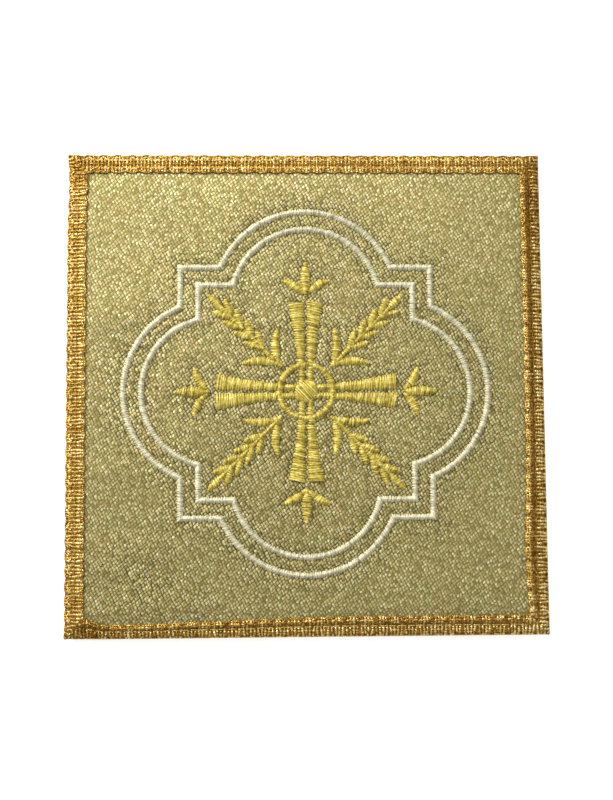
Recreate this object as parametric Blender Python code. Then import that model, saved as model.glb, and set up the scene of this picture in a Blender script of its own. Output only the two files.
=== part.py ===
"""Chalice pall: a stiffened square of gold cloth, edged with scalloped braid and worked in satin stitch.

The pall lies flat with its face up. +Z is up, +Y is the top of the design, and the origin is the
middle of the underside. Sizes are in metres, and each table names its own columns.
"""

import math

import bpy
import bmesh
from mathutils import Matrix, Vector

MM = 0.001

# The finished pall, measured over the braid
WIDTH = 160 * MM
LENGTH = 162 * MM
GAP = 0.3 * MM              # between pieces that lie on one another

# The stiffened cloth
THICKNESS = 4.0 * MM
BRAID_OVERHANG = 0.8 * MM   # how far the braid stands out past the cloth
RIM_REACH = 8.0 * MM        # the face falls towards the edge over this distance
RIM_FALL = 1.1 * MM
CROWN = 0.3 * MM            # the middle stands this much above the rim's top
GRID_STEPS = 40             # quads across the face
GRID_CROWDING = 0.6         # 0 spaces the grid evenly, and 1 crowds it most towards the rim
FACE_INSET = 0.35 * MM      # the face stops this far inside the cloth's outline

# The cloth's edge below the face: how far inside the outline each turn lies, and its height
CLOTH_EDGE_TURNS = (
    # inset mm, height mm
    (0.00, 2.40),
    (0.00, 1.50),
    (0.60, 0.70),
    (2.20, 0.15),
    (4.00, 0.00),
)

# Soft ripples in the face, most of them along its left side
RIPPLES = (
    # x mm, y mm, reach along x mm, breadth mm, slope, height mm
    (-68, 25, 24, 7.0, 0.05, 0.26),
    (-66, -26, 26, 5.5, 0.02, 0.30),
    (-68, -52, 22, 5.5, -0.04, 0.28),
    (-70, -74, 24, 5.0, 0.10, 0.22),
    (62, -66, 16, 4.0, -0.14, 0.20),
    (-12, 66, 40, 7.0, 0.03, 0.16),
    (58, 34, 26, 11.0, -0.30, 0.14),
)

# The dent in the left side, just below its top corner
DENT_Y = 70 * MM
DENT_LENGTH = 9 * MM
DENT_DEPTH = 0.4 * MM

# The braid, whose scallops hold four ribs each
BRAID_WIDTH = 6.9 * MM
SCALLOPS = 33               # along each side
SCALLOP_STEPS = 2           # sections in each scallop
INNER_SCALLOP = 0.8 * MM    # how deep the scallops of the braid's inner edge are
OUTER_SCALLOPS = (0.5 * MM, 0.0, 0.0, 0.5 * MM)     # and of its outer edge: top, right, bottom, left
BRAID_SECTION = (
    # inset from the outer edge mm, height above the cloth mm, share of the nearer edge's scallop
    (0.0, 0.00, 1.0),
    (0.0, 0.45, 1.0),
    (2.0, 0.85, 0.4),
    (3.8, 0.45, 0.0),
    (5.3, 0.95, -0.3),
    (6.9, 0.45, -1.0),
    (6.9, 0.00, -1.0),
    (4.6, 0.00, 0.0),
    (2.3, 0.00, 0.0),
)

# Satin stitch: columns with sloping sides. Where columns cross, each level lies a little higher
STITCH_HEIGHT = 0.5 * MM
LEVEL_STEP = 0.06 * MM
TOP_SHARE = 0.62            # how much of a column's width is its raised top

# Two white lines, each a barbed quatrefoil: four round lobes with a square barb between each two
LINE_WIDTH = 1.9 * MM
LOBE_STEPS = 20
QUATREFOILS = (
    # name, distance of a lobe's middle mm, lobe's radius mm, distance of a barb's sides mm
    ("white_line_outer", 30, 31, 42),
    ("white_line_inner", 30, 25, 36),
)

# The gold cross inside them
ARM_START = 2.6 * MM
ARM_END = 30 * MM
ARM_SPLIT = 0.9 * MM        # the gap between an arm's two wedges
ARM_NARROW = 1.9 * MM
ARM_WIDE = 5.6 * MM
ARM_FLARE = 1.7             # 1 widens the arm evenly, and more keeps it narrow for longer
ARM_STEPS = 6
BOSS_RADIUS = 3.9 * MM
BOSS_HEIGHT = 0.8 * MM
RING_RADIUS = 9.0 * MM
RING_STEPS = 40

# A bud beyond each arm, and an ear of wheat between each two
LEAF_TIP = 0.7 * MM
LEAF_STEPS = 6
BUD_PETALS = (
    # start mm, side mm, length mm, width mm, heading deg, turn deg, level
    (32.2, 0.0, 11.5, 3.6, 0, 0, 2),
    (32.8, 0.5, 9.0, 2.7, 38, 42, 1),
    (32.8, -0.5, 9.0, 2.7, -38, -42, 0),
)
STALK_START = 11.6 * MM
STALK_END = 41.0 * MM
STALK_WIDTH = 1.5 * MM
STALK_STEPS = 8
GRAIN_PAIRS = 4
GRAIN_PITCH = 4.9           # mm along the stalk
EAR_LEAVES = (
    # start mm, length mm, width mm, heading deg, turn deg
    (12.8, 12.4, 2.8, 24, 38),
)
EAR_GRAIN = (20.5, 6.6, 2.5, 27, 0)         # the lowest grain, in the columns of EAR_LEAVES
TOP_GRAIN = (39.0, 7.2, 2.5, 0, 0)

# Colours as linear red, green and blue
CLOTH_COLOUR = (0.43, 0.36, 0.14)
BRAID_COLOUR = (0.42, 0.26, 0.07)
WHITE_COLOUR = (0.74, 0.69, 0.50)
GOLD_COLOUR = (0.53, 0.39, 0.04)


def start_empty():
    """Clear the scene, and make a collection for the pieces and one for what is joined to them."""
    for obj in list(bpy.data.objects):
        bpy.data.objects.remove(obj, do_unlink=True)
    made = []
    for name in ("chalice_pall", "joined_parts"):
        collection = bpy.data.collections.new(name)
        bpy.context.scene.collection.children.link(collection)
        made.append(collection)
    return made


def make_material(name, colour, roughness, metallic):
    """A plain finish for one kind of thread or cloth."""
    material = bpy.data.materials.new(name)
    material.use_nodes = True
    shader = material.node_tree.nodes["Principled BSDF"]
    shader.inputs["Base Color"].default_value = (*colour, 1)
    shader.inputs["Roughness"].default_value = roughness
    shader.inputs["Metallic"].default_value = metallic
    return material


def make_object(name, shape, material, collection, smooth_below_deg=60):
    """Turn a finished bmesh into an object, with its finish and its shading."""
    mesh = bpy.data.meshes.new(name)
    shape.to_mesh(mesh)
    shape.free()
    mesh.materials.append(material)
    mesh.shade_smooth()
    mesh.set_sharp_from_angle(angle=math.radians(smooth_below_deg))
    obj = bpy.data.objects.new(name, mesh)
    collection.objects.link(obj)
    return obj


def dent(x, y):
    """How far the left side is pushed in at this height. It fades out across the pall."""
    share = max(0.0, -x / (WIDTH / 2))
    return DENT_DEPTH * share**4 * math.exp(-(((y - DENT_Y) / DENT_LENGTH) ** 2))


def cloth_half_size():
    """Half the cloth's width and half its length."""
    return WIDTH / 2 - BRAID_OVERHANG, LENGTH / 2 - BRAID_OVERHANG


def ripple_height(x, y):
    """The height that the soft ripples add to the face."""
    total = 0.0
    for centre_x, centre_y, reach, breadth, slope, height in RIPPLES:
        along = (x - centre_x * MM) / (reach * MM)
        across = (y - centre_y * MM - slope * (x - centre_x * MM)) / (breadth * MM)
        total += height * MM * math.exp(-along * along - across * across)
    return total


def cloth_top(x, y):
    """The height of the cloth's face at a place on the pall. It goes on falling outside the cloth."""
    half_width, half_length = cloth_half_size()
    inset = min(half_width - abs(x), half_length - abs(y))
    fall = RIM_FALL * max(0.0, 1 - inset / RIM_REACH) ** 2
    inside = min(1.0, max(0.0, inset / RIM_REACH))
    crown = CROWN * (1 - (x / half_width) ** 2) * (1 - (y / half_length) ** 2)
    return THICKNESS - fall + inside * (crown + ripple_height(x, y))


def crowded(share):
    """Move an even grid line, from -1 to 1, towards the rim."""
    return (1 - GRID_CROWDING) * share + GRID_CROWDING * math.sin(share * math.pi / 2)


def make_cloth(material, collection):
    """The stiffened cloth: its face, turned at the edge, and flat underneath."""
    shape = bmesh.new()
    bmesh.ops.create_grid(shape, x_segments=GRID_STEPS, y_segments=GRID_STEPS, size=1)
    half_width, half_length = cloth_half_size()
    for vert in shape.verts:
        x = crowded(vert.co.x) * (half_width - FACE_INSET)
        y = crowded(vert.co.y) * (half_length - FACE_INSET)
        vert.co = (x + dent(x, y), y, cloth_top(x, y))
    edges = [edge for edge in shape.edges if edge.is_boundary]
    last_inset = FACE_INSET
    for inset_mm, height_mm in CLOTH_EDGE_TURNS:
        inset = inset_mm * MM
        made = bmesh.ops.extrude_edge_only(shape, edges=edges)["geom"]
        for vert in [item for item in made if isinstance(item, bmesh.types.BMVert)]:
            vert.co.x *= (half_width - inset) / (half_width - last_inset)
            vert.co.y *= (half_length - inset) / (half_length - last_inset)
            vert.co.z = height_mm * MM
        edges = [item for item in made if isinstance(item, bmesh.types.BMEdge)]
        last_inset = inset
    bmesh.ops.contextual_create(shape, geom=edges)
    bmesh.ops.recalc_face_normals(shape, faces=shape.faces)
    return make_object("pall_cloth", shape, material, collection)


def loft(name, sections, closed, material, collection):
    """Join unlike cross-sections into one solid: a closed ring, or a length with a cap at each end."""
    shape = bmesh.new()
    rings = [[shape.verts.new(point) for point in section] for section in sections]
    following = rings[1:] + rings[:1] if closed else rings[1:]
    for ring, next_ring in zip(rings, following):
        for index in range(len(ring)):
            after = (index + 1) % len(ring)
            shape.faces.new((ring[index], ring[after], next_ring[after], next_ring[index]))
    if not closed:
        shape.faces.new(rings[0])
        shape.faces.new(rings[-1])
    bmesh.ops.recalc_face_normals(shape, faces=shape.faces)
    return make_object(name, shape, material, collection)


def braid_place(side, along, inset):
    """A place on the braid. Near a corner its ribs crowd together, so that they meet on the mitre."""
    across = side % 2 == 0
    half_run = (WIDTH if across else LENGTH) / 2
    half_other = (LENGTH if across else WIDTH) / 2
    easing = 2 * BRAID_WIDTH
    past = abs(along) - (half_run - easing)
    if past > 0:
        along = math.copysign(half_run - easing + past * (1 - inset / easing), along)
    return Matrix.Rotation(-side * math.pi / 2, 2) @ Vector((along, half_other - inset))


def braid_section(side, along, scallop):
    """One cross-section of the braid, where scallop is 0 in a notch and 1 on a scallop's crest."""
    points = []
    for inset, height, follows in BRAID_SECTION:
        depth = OUTER_SCALLOPS[side] if follows > 0 else INNER_SCALLOP
        x, y = braid_place(side, along, inset * MM + depth * (1 - scallop) * follows)
        x += dent(x, y)
        points.append((x, y, cloth_top(x, y) + GAP + height * MM))
    return points


def make_braid(material, collection):
    """The braid: one length sewn round the edge of the face, eased round its four corners."""
    sections = []
    for side in range(4):
        run = WIDTH if side % 2 == 0 else LENGTH
        steps = SCALLOP_STEPS * SCALLOPS
        for step in range(steps):
            corner = step == 0
            scallop = 1.0 if corner else math.sin(math.pi * step / SCALLOP_STEPS) ** 2
            sections.append(braid_section(side, (step / steps - 0.5) * run, scallop))
    return loft("edge_braid", sections, True, material, collection)


def turned(path, quarters):
    """The same places, turned about the middle of the pall by quarters of a turn."""
    rotation = Matrix.Rotation(quarters * math.pi / 2, 2)
    return [rotation @ Vector(point) for point in path]


def sideways(path, closed):
    """The sideways direction at each point of a path, longer at a corner so that the width holds."""
    found = []
    for index, point in enumerate(path):
        before = path[index - 1] if closed or index > 0 else point
        after = path[(index + 1) % len(path)] if closed or index < len(path) - 1 else point
        steps = [end - start for start, end in ((before, point), (point, after)) if end != start]
        sides = [Vector((-step.y, step.x)).normalized() for step in steps]
        middle = (sides[0] + sides[-1]) / 2
        found.append(middle / middle.length_squared)
    return found


def satin_column(name, path, widths, level, material, collection, closed=False):
    """A raised column of satin stitch that lies on the cloth along a path."""
    lift = GAP + level * LEVEL_STEP
    sections = []
    for point, side, width in zip(path, sideways(path, closed), widths):
        section = []
        for share, rise in ((-1, 0), (-TOP_SHARE, 1), (TOP_SHARE, 1), (1, 0)):
            place = point + side * (share * width / 2)
            section.append((*place, cloth_top(*place) + lift + rise * STITCH_HEIGHT))
        sections.append(section)
    return loft(name, sections, closed, material, collection)


def join_to(main, others):
    """Join other solids to a main one with Boolean unions."""
    for other in others:
        other.hide_render = True
        other.display_type = "WIRE"
        union = main.modifiers.new("join_" + other.name, "BOOLEAN")
        union.operation = "UNION"
        union.object = other


def quatrefoil_path(lobe_middle, lobe_radius, barb_side):
    """Four round lobes and four square barbs, as one closed path."""
    half_angle = math.acos((barb_side - lobe_middle) / lobe_radius)
    path = []
    for quarter in range(4):
        lobe = []
        for step in range(LOBE_STEPS + 1):
            angle = half_angle * (2 * step / LOBE_STEPS - 1)
            lobe.append((lobe_middle + lobe_radius * math.cos(angle), lobe_radius * math.sin(angle)))
        path += turned(lobe + [(barb_side, barb_side)], quarter)
    return path


def make_quatrefoils(material, collection):
    """The two white lines round the ornament."""
    for name, *sizes in QUATREFOILS:
        path = quatrefoil_path(*(size * MM for size in sizes))
        satin_column(name, path, [LINE_WIDTH] * len(path), 0, material, collection, closed=True)


def arm_wedge(side):
    """The path and the widths of one wedge of the arm that lies along +X."""
    path = []
    widths = []
    for step in range(ARM_STEPS + 1):
        share = step / ARM_STEPS
        width = ARM_NARROW + (ARM_WIDE - ARM_NARROW) * share**ARM_FLARE
        path.append((ARM_START + (ARM_END - ARM_START) * share, side * (ARM_SPLIT + width) / 2))
        widths.append(width)
    return path, widths


def make_boss(name, material, collection):
    """The low dome in the middle of the cross."""
    shape = bmesh.new()
    bmesh.ops.create_uvsphere(shape, u_segments=20, v_segments=8, radius=1)
    place = Matrix.Translation((0, 0, cloth_top(0, 0) + GAP + BOSS_HEIGHT / 2))
    size = Matrix.Diagonal((BOSS_RADIUS, BOSS_RADIUS, BOSS_HEIGHT / 2, 1))
    bmesh.ops.transform(shape, matrix=place @ size, verts=shape.verts)
    return make_object(name, shape, material, collection)


def make_cross(material, collection, joined):
    """The cross: four flared arms, each of two wedges, with a ring over them and a boss."""
    boss = make_boss("gold_cross", material, collection)
    turns = [2 * math.pi * step / RING_STEPS for step in range(RING_STEPS)]
    ring = [Vector((math.cos(turn), math.sin(turn))) * RING_RADIUS for turn in turns]
    columns = [satin_column("ring", ring, [LINE_WIDTH] * len(ring), 2, material, joined, closed=True)]
    for arm in range(4):
        for side in (-1, 1):
            path, widths = arm_wedge(side)
            name = f"wedge_{arm}_{'left' if side > 0 else 'right'}"
            columns.append(satin_column(name, turned(path, arm), widths, 0, material, joined))
    join_to(boss, columns)


def leaf(name, quarters, side, sizes, level, material, collection):
    """A leaf, petal or grain: it swells to its middle, and its heading turns steadily along it."""
    start, length, width, heading, turn = sizes
    path = [Vector((start * MM, side * MM))]
    widths = [LEAF_TIP]
    for step in range(1, LEAF_STEPS + 1):
        angle = math.radians(heading + turn * (step - 0.5) / LEAF_STEPS)
        ahead = Vector((math.cos(angle), math.sin(angle)))
        path.append(path[-1] + ahead * length * MM / LEAF_STEPS)
        swell = max(0.0, math.sin(math.pi * step / LEAF_STEPS)) ** 0.8
        widths.append(LEAF_TIP + (width * MM - LEAF_TIP) * swell)
    return satin_column(name, turned(path, quarters), widths, level, material, collection)


def make_bud(arm, material, collection, joined):
    """The three petals beyond the end of one arm of the cross."""
    petals = []
    for start, side, length, width, heading, turn, level in BUD_PETALS:
        name = f"petal_{arm}_{len(petals)}" if petals else f"gold_bud_{arm}"
        home = joined if petals else collection
        sizes = (start, length, width, heading, turn)
        petals.append(leaf(name, arm, side, sizes, level, material, home))
    join_to(petals[0], petals[1:])


def mirrored(sizes, side):
    """The sizes of a leaf on one side of a stalk, 1 for its left and -1 for its right."""
    start, length, width, heading, turn = sizes
    return start, length, width, side * heading, side * turn


def make_ear(corner, material, collection, joined):
    """An ear of wheat on its stalk, with two leaves, between two arms of the cross."""
    quarters = corner + 0.5
    steps = [step / STALK_STEPS for step in range(STALK_STEPS + 1)]
    path = [(STALK_START + (STALK_END - STALK_START) * step, 0) for step in steps]
    widths = [STALK_WIDTH] * len(path)
    stalk = satin_column(f"gold_ear_{corner}", turned(path, quarters), widths, 2, material, collection)
    rows = list(EAR_LEAVES)
    rows += [(EAR_GRAIN[0] + GRAIN_PITCH * pair, *EAR_GRAIN[1:]) for pair in range(GRAIN_PAIRS)]
    parts = [leaf(f"grain_{corner}_top", quarters, 0, TOP_GRAIN, 0, material, joined)]
    for number, sizes in enumerate(rows):
        for level, side in enumerate((-1, 1)):
            name = f"leaf_{corner}_{number}_{level}"
            parts.append(leaf(name, quarters, 0, mirrored(sizes, side), level, material, joined))
    join_to(stalk, parts)


def main():
    """Build the pall."""
    pieces, joined = start_empty()
    cloth = make_material("gold_cloth", CLOTH_COLOUR, 0.45, 0.6)
    braid = make_material("gold_braid", BRAID_COLOUR, 0.4, 0.7)
    white = make_material("white_thread", WHITE_COLOUR, 0.5, 0.0)
    gold = make_material("gold_thread", GOLD_COLOUR, 0.4, 0.3)
    make_cloth(cloth, pieces)
    make_braid(braid, pieces)
    make_quatrefoils(white, pieces)
    make_cross(gold, pieces, joined)
    for quarter in range(4):
        make_bud(quarter, gold, pieces, joined)
        make_ear(quarter, gold, pieces, joined)


main()
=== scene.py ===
"""Looks of a chalice pall: gold metallic cloth, a scalloped braid, and ornament in satin stitch.

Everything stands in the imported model's frame, in metres, with +Z up and +Y at the top of the
design. The tables repeat the driving sizes of the solids that these pieces replace.
"""

import math

import bmesh
import bpy
import numpy as np
from mathutils import Matrix, Vector, kdtree, noise


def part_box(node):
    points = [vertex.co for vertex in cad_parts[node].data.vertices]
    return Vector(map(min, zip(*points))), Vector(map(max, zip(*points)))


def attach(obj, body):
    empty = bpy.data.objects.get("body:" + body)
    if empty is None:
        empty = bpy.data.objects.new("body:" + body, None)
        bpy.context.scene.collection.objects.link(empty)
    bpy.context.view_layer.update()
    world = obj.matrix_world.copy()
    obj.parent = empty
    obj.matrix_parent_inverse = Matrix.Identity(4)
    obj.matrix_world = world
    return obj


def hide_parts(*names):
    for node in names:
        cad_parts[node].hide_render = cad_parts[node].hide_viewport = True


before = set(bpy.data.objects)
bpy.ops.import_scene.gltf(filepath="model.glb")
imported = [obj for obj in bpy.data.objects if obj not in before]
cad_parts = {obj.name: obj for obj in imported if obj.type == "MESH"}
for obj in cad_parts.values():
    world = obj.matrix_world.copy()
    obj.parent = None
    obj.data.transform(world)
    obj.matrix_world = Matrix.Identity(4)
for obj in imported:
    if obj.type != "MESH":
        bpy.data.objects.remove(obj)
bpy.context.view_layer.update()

MM = 0.001
BRAID_LOW, BRAID_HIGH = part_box("edge_braid")
WIDTH = BRAID_HIGH.x - BRAID_LOW.x
LENGTH = BRAID_HIGH.y - BRAID_LOW.y

# The stiffened cloth
THICKNESS = 4.0 * MM
BRAID_OVERHANG = 0.8 * MM   # how far the braid stands out past the cloth
RIM_REACH = 8.0 * MM        # the face falls towards the edge over this distance
RIM_FALL = 1.1 * MM
CROWN = 0.3 * MM            # the middle stands this much above the rim's top
FACE_INSET = 0.35 * MM      # the face stops this far inside the cloth's outline
FACE_STEP = 0.8 * MM        # the size of the face's quads
BACK_STEPS = 24             # quads across the flat back
CLOTH_EDGE_TURNS = (
    # inset mm, height mm
    (0.08, 2.75),
    (0.00, 2.40),
    (0.00, 1.50),
    (0.20, 1.05),
    (0.60, 0.70),
    (1.30, 0.38),
    (2.20, 0.15),
    (4.00, 0.00),
)

# Soft ripples in the face, most of them along its left side
RIPPLES = (
    # x mm, y mm, reach along x mm, breadth mm, slope, height mm
    (-68, 25, 24, 7.0, 0.05, 0.26),
    (-66, -26, 26, 5.5, 0.02, 0.30),
    (-68, -52, 22, 5.5, -0.04, 0.28),
    (-70, -74, 24, 5.0, 0.10, 0.22),
    (62, -66, 16, 4.0, -0.14, 0.20),
    (-12, 66, 40, 7.0, 0.03, 0.16),
    (58, 34, 26, 11.0, -0.30, 0.14),
)

# The dent in the left side, just below its top corner
DENT_Y = 70 * MM
DENT_LENGTH = 9 * MM
DENT_DEPTH = 0.4 * MM

# How the stitching draws the cloth in
STITCH_DIP = 0.22 * MM
STITCH_DIP_REACH = 1.1 * MM
PUCKER_HEIGHT = 0.10 * MM
PUCKER_SIZE = 2.4 * MM
PUCKER_REACH = 6.0 * MM
PULL_REACH = 5.0 * MM       # the floats lean about more within this distance
# Where the cloth is pulled, its floats lean more and its ground takes a painted shade
PULLED_PATCHES = (
    # x mm, y mm, reach mm, how much the cloth is pulled there
    (-57, -61, 13, 0.80),
    (-40, -70, 12, 0.40),
)
HEM_DIP = 0.06 * MM         # along the braid's inner edge
HEM_DIP_REACH = 1.3 * MM
# The seam pulls the weave along the braid's inner edge: its floats lean more and its ground takes a
# painted shade
HEM_PULL = 0.25
HEM_PULL_REACH = 1.1 * MM

# The braid, whose scallops hold four ribs each. The ribs are twisted, so they look beaded
BRAID_WIDTH = 6.9 * MM
SCALLOPS = 33                       # along each side
INNER_SCALLOP = 0.8 * MM            # how deep the scallops of the braid's inner edge are
OUTER_SCALLOPS = (0.5 * MM, 0.0, 0.0, 0.5 * MM)     # and of its outer edge: top, right, bottom, left
NOTCH_SHARPNESS = 2.5               # 1 gives a notch straight sides, and more a narrower notch
RIBS_PER_SCALLOP = 4
RIB_SPAN = (0.20 * MM, 6.68 * MM)   # from the outer edge
RIB_RADII = (0.43 * MM, 0.30 * MM)  # along the braid, and upwards
RIB_STATIONS = 17
RIB_STRAYS = (0.06 * MM, 0.20 * MM, 0.07 * MM)  # along the braid: a whole rib, its slant, each station
RIB_LIFTS = (0.04 * MM, 0.05 * MM)  # upwards: a whole rib, and each station
RIB_END_REACH = 0.8 * MM            # a rib rises from its ends over this distance
RIB_TONE_SPREAD = 0.08
RIB_LOOKS = (
    # how much a rib's thickness and tone change from station to station, and the tone added to the side's
    # ribs as painted light and shade: by side
    (0.32, 0.20, 0.02),
    (0.34, 0.25, 0.21),
    (0.34, 0.25, 0.08),
    (0.26, 0.17, 0.12),
)
RIB_BEND = 0.30                     # a rib's ends bend this share of the way to the scallop's middle
RIB_TONES = (
    # inset mm, tone, lower in the groove as a painted shade
    (0.0, 0.58),
    (1.0, 0.54),
    (2.4, 0.62),
    (3.2, 0.50),
    (3.9, 0.42),
    (4.5, 0.60),
    (5.3, 0.68),
    (6.9, 0.60),
)

# The groove along the braid. A row of four values is for the top, right, bottom and left
GROOVE_INSETS = (3.85 * MM, 3.85 * MM, 3.85 * MM, 2.25 * MM)
GROOVE_HALVES = (0.75 * MM, 1.15 * MM, 0.75 * MM, 0.75 * MM)
GROOVE_DIPS = (0.05 * MM, 0.42 * MM, 0.16 * MM, 0.20 * MM)
GROOVE_WAVE = 0.45 * MM             # how far it swings towards the inner edge at each notch
# The ribs darken where they dip into the groove: a painted shade in the recess
GROOVE_PAINTED_SHADE = 0.9                  # how much the ribs' tone falls for each millimetre that they dip
# The ground's tone by side is a painted shade: darker on the right and the bottom, which face away from
# the light
BASE_TONES = (0.46, 0.20, 0.30, 0.40)
BASE_TONE_SPREAD = 0.08
# Painted shade in the notches between the inner band's lobes, strongest on the sides away from the light
NOTCH_PAINTED_SHADES = (0.12, 0.34, 0.46, 0.0)  # how much darker the inner band is between two scallops
NOTCH_LEAN = 0.12                   # how far that dark line leans, in scallops for each millimetre
NOTCH_MIDDLE = 5.3                  # the inset in mm where it lies between the two
NOTCH_BAND = (4.2, 4.8)             # it fades in between these insets in mm
ARCS = (
    # inset at a scallop's crest mm, inset at its ends mm, share of its length, height mm, tone
    (0.32, 2.1, 0.92, 0.50, 0.36),
    (1.10, 2.3, 0.50, 0.62, 0.72),
)
ARC_RADII = (0.30 * MM, 0.26 * MM)
ARC_STATIONS = 11
ARC_STRAYS = (0.10 * MM, 0.08 * MM)     # along the braid, and inwards
ARC_BEAD = 0.12
ARC_TONE_SPREAD = 0.12
BAND_CORDS = (
    # side, inset mm, height mm, tone
    (1, 5.60, 0.76, 0.58),
    (2, 5.30, 0.80, 0.52),
    (0, 5.10, 0.76, 0.58),
    (0, 2.10, 0.60, 0.60),
)
BAND_CORD_RADII = (0.34 * MM, 0.26 * MM)
BAND_CORD_STRAYS = (0.09 * MM, 0.07 * MM)   # across the braid, and upwards
BAND_CORD_BEAD = 0.22               # how much thicker and thinner a cord is from station to station
BAND_CORD_TONE_SPREAD = 0.24
BRAID_SPREADS = {
    # side: rows of a place along it mm, and how much wider than elsewhere the braid lies there mm
    1: ((15, 0.0), (37, 0.5), (50, 1.1), (64, 0.9), (73.5, 0.0)),
    2: ((-14, 0.0), (11, -0.6), (27, -1.3), (44, -1.8), (52, -2.3), (67, -2.3), (73.5, 0.0)),
}
# Stretches where the ribs are darker or lighter: a painted shade along the top of the right side, where
# the light is kept off the braid, and patches at the folded corners
BRAID_SHADE_AND_FOLD_TONES = (
    # side, place along it mm, reach mm, what the ribs' tone changes by
    (1, -66, 15, -0.30),
    (3, 76, 6, -0.36),
    (0, -73, 5, -0.36),
    (2, 71, 6, -0.30),
    (1, 78, 6, 0.30),
    (2, -77, 6, 0.30),
)
BRAID_CRESTS = (
    # inset mm, breadth mm, height of the rib's middle above the cloth mm
    (2.0, 1.15, 0.62),
    (5.3, 0.95, 0.74),
)
BRAID_GROOVE = 0.26 * MM            # height of the rib's middle between the crests
BRAID_EDGE = 0.20 * MM              # and at its ends
BRAID_BASE = (
    # inset mm, height above the cloth mm, from the inner edge over the top to the outer edge
    (6.65, 0.05),
    (6.60, 0.22),
    (5.30, 0.58),
    (3.80, 0.10),
    (2.00, 0.40),
    (0.32, 0.20),
    (0.27, 0.05),
    (2.00, -0.05),
    (5.30, -0.05),
)
EDGE_CORDS = (
    # inset mm, height mm, radius mm, and its tones at the top, right, bottom and left, which differ as
    # painted light and shade
    (0.24, 0.22, 0.24, (0.50, 0.34, 0.42, 0.50)),
    (6.44, 0.28, 0.38, (0.34, 0.60, 0.46, 0.32)),
)
EDGE_CORD_TONE_SPREAD = 0.16
SEAM_INSET = 3.5 * MM
SEAM_STITCH = 2.9 * MM
SEAM_PITCH = 3.1 * MM
SEAM_STATIONS = 6
SEAM_STRAY = 0.05 * MM
SEAM_LOW = 0.30 * MM                # a stitch's ends above the cloth
SEAM_RISE = 0.38 * MM               # how much higher its middle is
SEAM_RADII = (0.15 * MM, 0.12 * MM)
SEAM_TONES = (0.45, 0.35, 0.92, 0.45)

# Satin stitch
LINE_WIDTH = 1.9 * MM
THREAD_PITCH = 0.43 * MM
THREAD_SLANT = 0.22 * MM                    # how far along the column a thread's end lies from its middle
THREAD_ZIGZAG = 0.25 * THREAD_PITCH         # and how much this differs from thread to thread
THREAD_STRAYS = (0.05 * MM, 0.08 * MM, 0.04 * MM)   # along the column, across it, and upwards
THREAD_TONE, THREAD_TONE_SPREAD = 0.55, 0.18
THREAD_RADII = (0.22 * MM, 0.18 * MM)       # along the column, and upwards
THREAD_STATIONS = 7
THREAD_SIDES = 5
THREAD_LOW = -0.25 * MM                     # where a thread goes into the cloth
THREAD_RISE = 0.70 * MM                     # the middle of a thread at a column's top
LEVEL_RISE = 0.15 * MM                      # what a column that crosses others adds for each level
SHOULDER = 0.95 * MM                        # a column reaches its full height this far in
SHOULDER_POWER = 1.2                        # 1 gives a shoulder straight sides, and 2 a round top
CORNER_REACH = 2.2 * MM                     # threads fan out this far from a corner
LONG_STEP = 2.2 * CORNER_REACH
UNDERLAY_SHARE = 0.62                       # of a column's height
UNDERLAY_LOW = 1.5 * THREAD_LOW
UNDERLAY_ACROSS = (0.1, 0.25, 0.5, 0.75, 0.9)
# The underlay is dark: a painted shade in the gaps between threads
UNDERLAY_SHADE_TONE = 0.2

# Two white lines, each a barbed quatrefoil: four round lobes with a square barb between each two
LOBE_STEPS = 48
QUATREFOILS = (
    # name, distance of a lobe's middle mm, lobe's radius mm, distance of a barb's sides mm
    ("white_line_outer", 30, 31, 42),
    ("white_line_inner", 30, 25, 36),
)

# The gold cross inside them
ARM_START = 2.6 * MM
ARM_END = 30 * MM
ARM_SPLIT = 0.9 * MM
ARM_NARROW = 1.9 * MM
ARM_WIDE = 5.6 * MM
ARM_FLARE = 1.7
ARM_STEPS = 12
BOSS_RADIUS = 3.9 * MM
BOSS_RISE = 0.42 * MM       # what the boss adds to a column's height in its middle
BOSS_STEPS = 14
BOSS_REACH = 0.47           # of its width, as an angle in half turns, from its middle to each end
RING_RADIUS = 9.0 * MM
RING_STEPS = 72

# A bud beyond each arm, and an ear of wheat between each two
LEAF_TIP = 0.7 * MM
LEAF_STEPS = 14
LEAF_FULLNESS = 0.8         # 1 narrows a leaf as a sine does, and less keeps it full for longer
BUD_PETALS = (
    # start mm, side mm, length mm, width mm, heading deg, turn deg, level
    (32.2, 0.0, 11.5, 3.6, 0, 0, 2),
    (32.8, 0.5, 9.0, 2.7, 38, 42, 1),
    (32.8, -0.5, 9.0, 2.7, -38, -42, 0),
)
STALK_START = 11.6 * MM
STALK_END = 41.0 * MM
STALK_WIDTH = 1.5 * MM
STALK_STEPS = 8
GRAIN_PAIRS = 4
GRAIN_PITCH = 4.9           # mm

# Start mm, length mm, width mm, heading deg and turn deg
EAR_LEAF = (12.8, 12.4, 2.8, 24, 38)
EAR_GRAIN = (20.5, 6.6, 2.5, 27, 0)
TOP_GRAIN = (39.0, 7.2, 2.5, 0, 0)

# The camera, from the four corners of the pall in the photograph
CAMERA_PLACE = (-0.01630437, -0.04940772, 0.46827984)
CAMERA_AHEAD = (0.03505592, 0.09976914, -0.99439288)
CAMERA_UP = (0.00449481, 0.99497865, 0.09998637)
SENSOR = 36     # mm
LENS = 63       # mm

# The floor and the light
WHITE = (1, 1, 1, 1)
FLOOR_COLOUR = (0.86, 0.86, 0.85, 1)
FLOOR_GLOW = 0.56
FLOOR_REACH = 3.0           # from its middle to its sides
FLOOR_GAP = 0.2 * MM        # it lies this far below the pall
WORLD_STRENGTH = 0.625
LIGHT_SIZE = 0.16
LIGHTS = (
    # name, place, power in watts
    ("low_light", (-0.42, 0.39, 0.28), 4.5),
    ("top_light", (0.01, 0.27, 0.45), 0.70),
)


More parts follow.
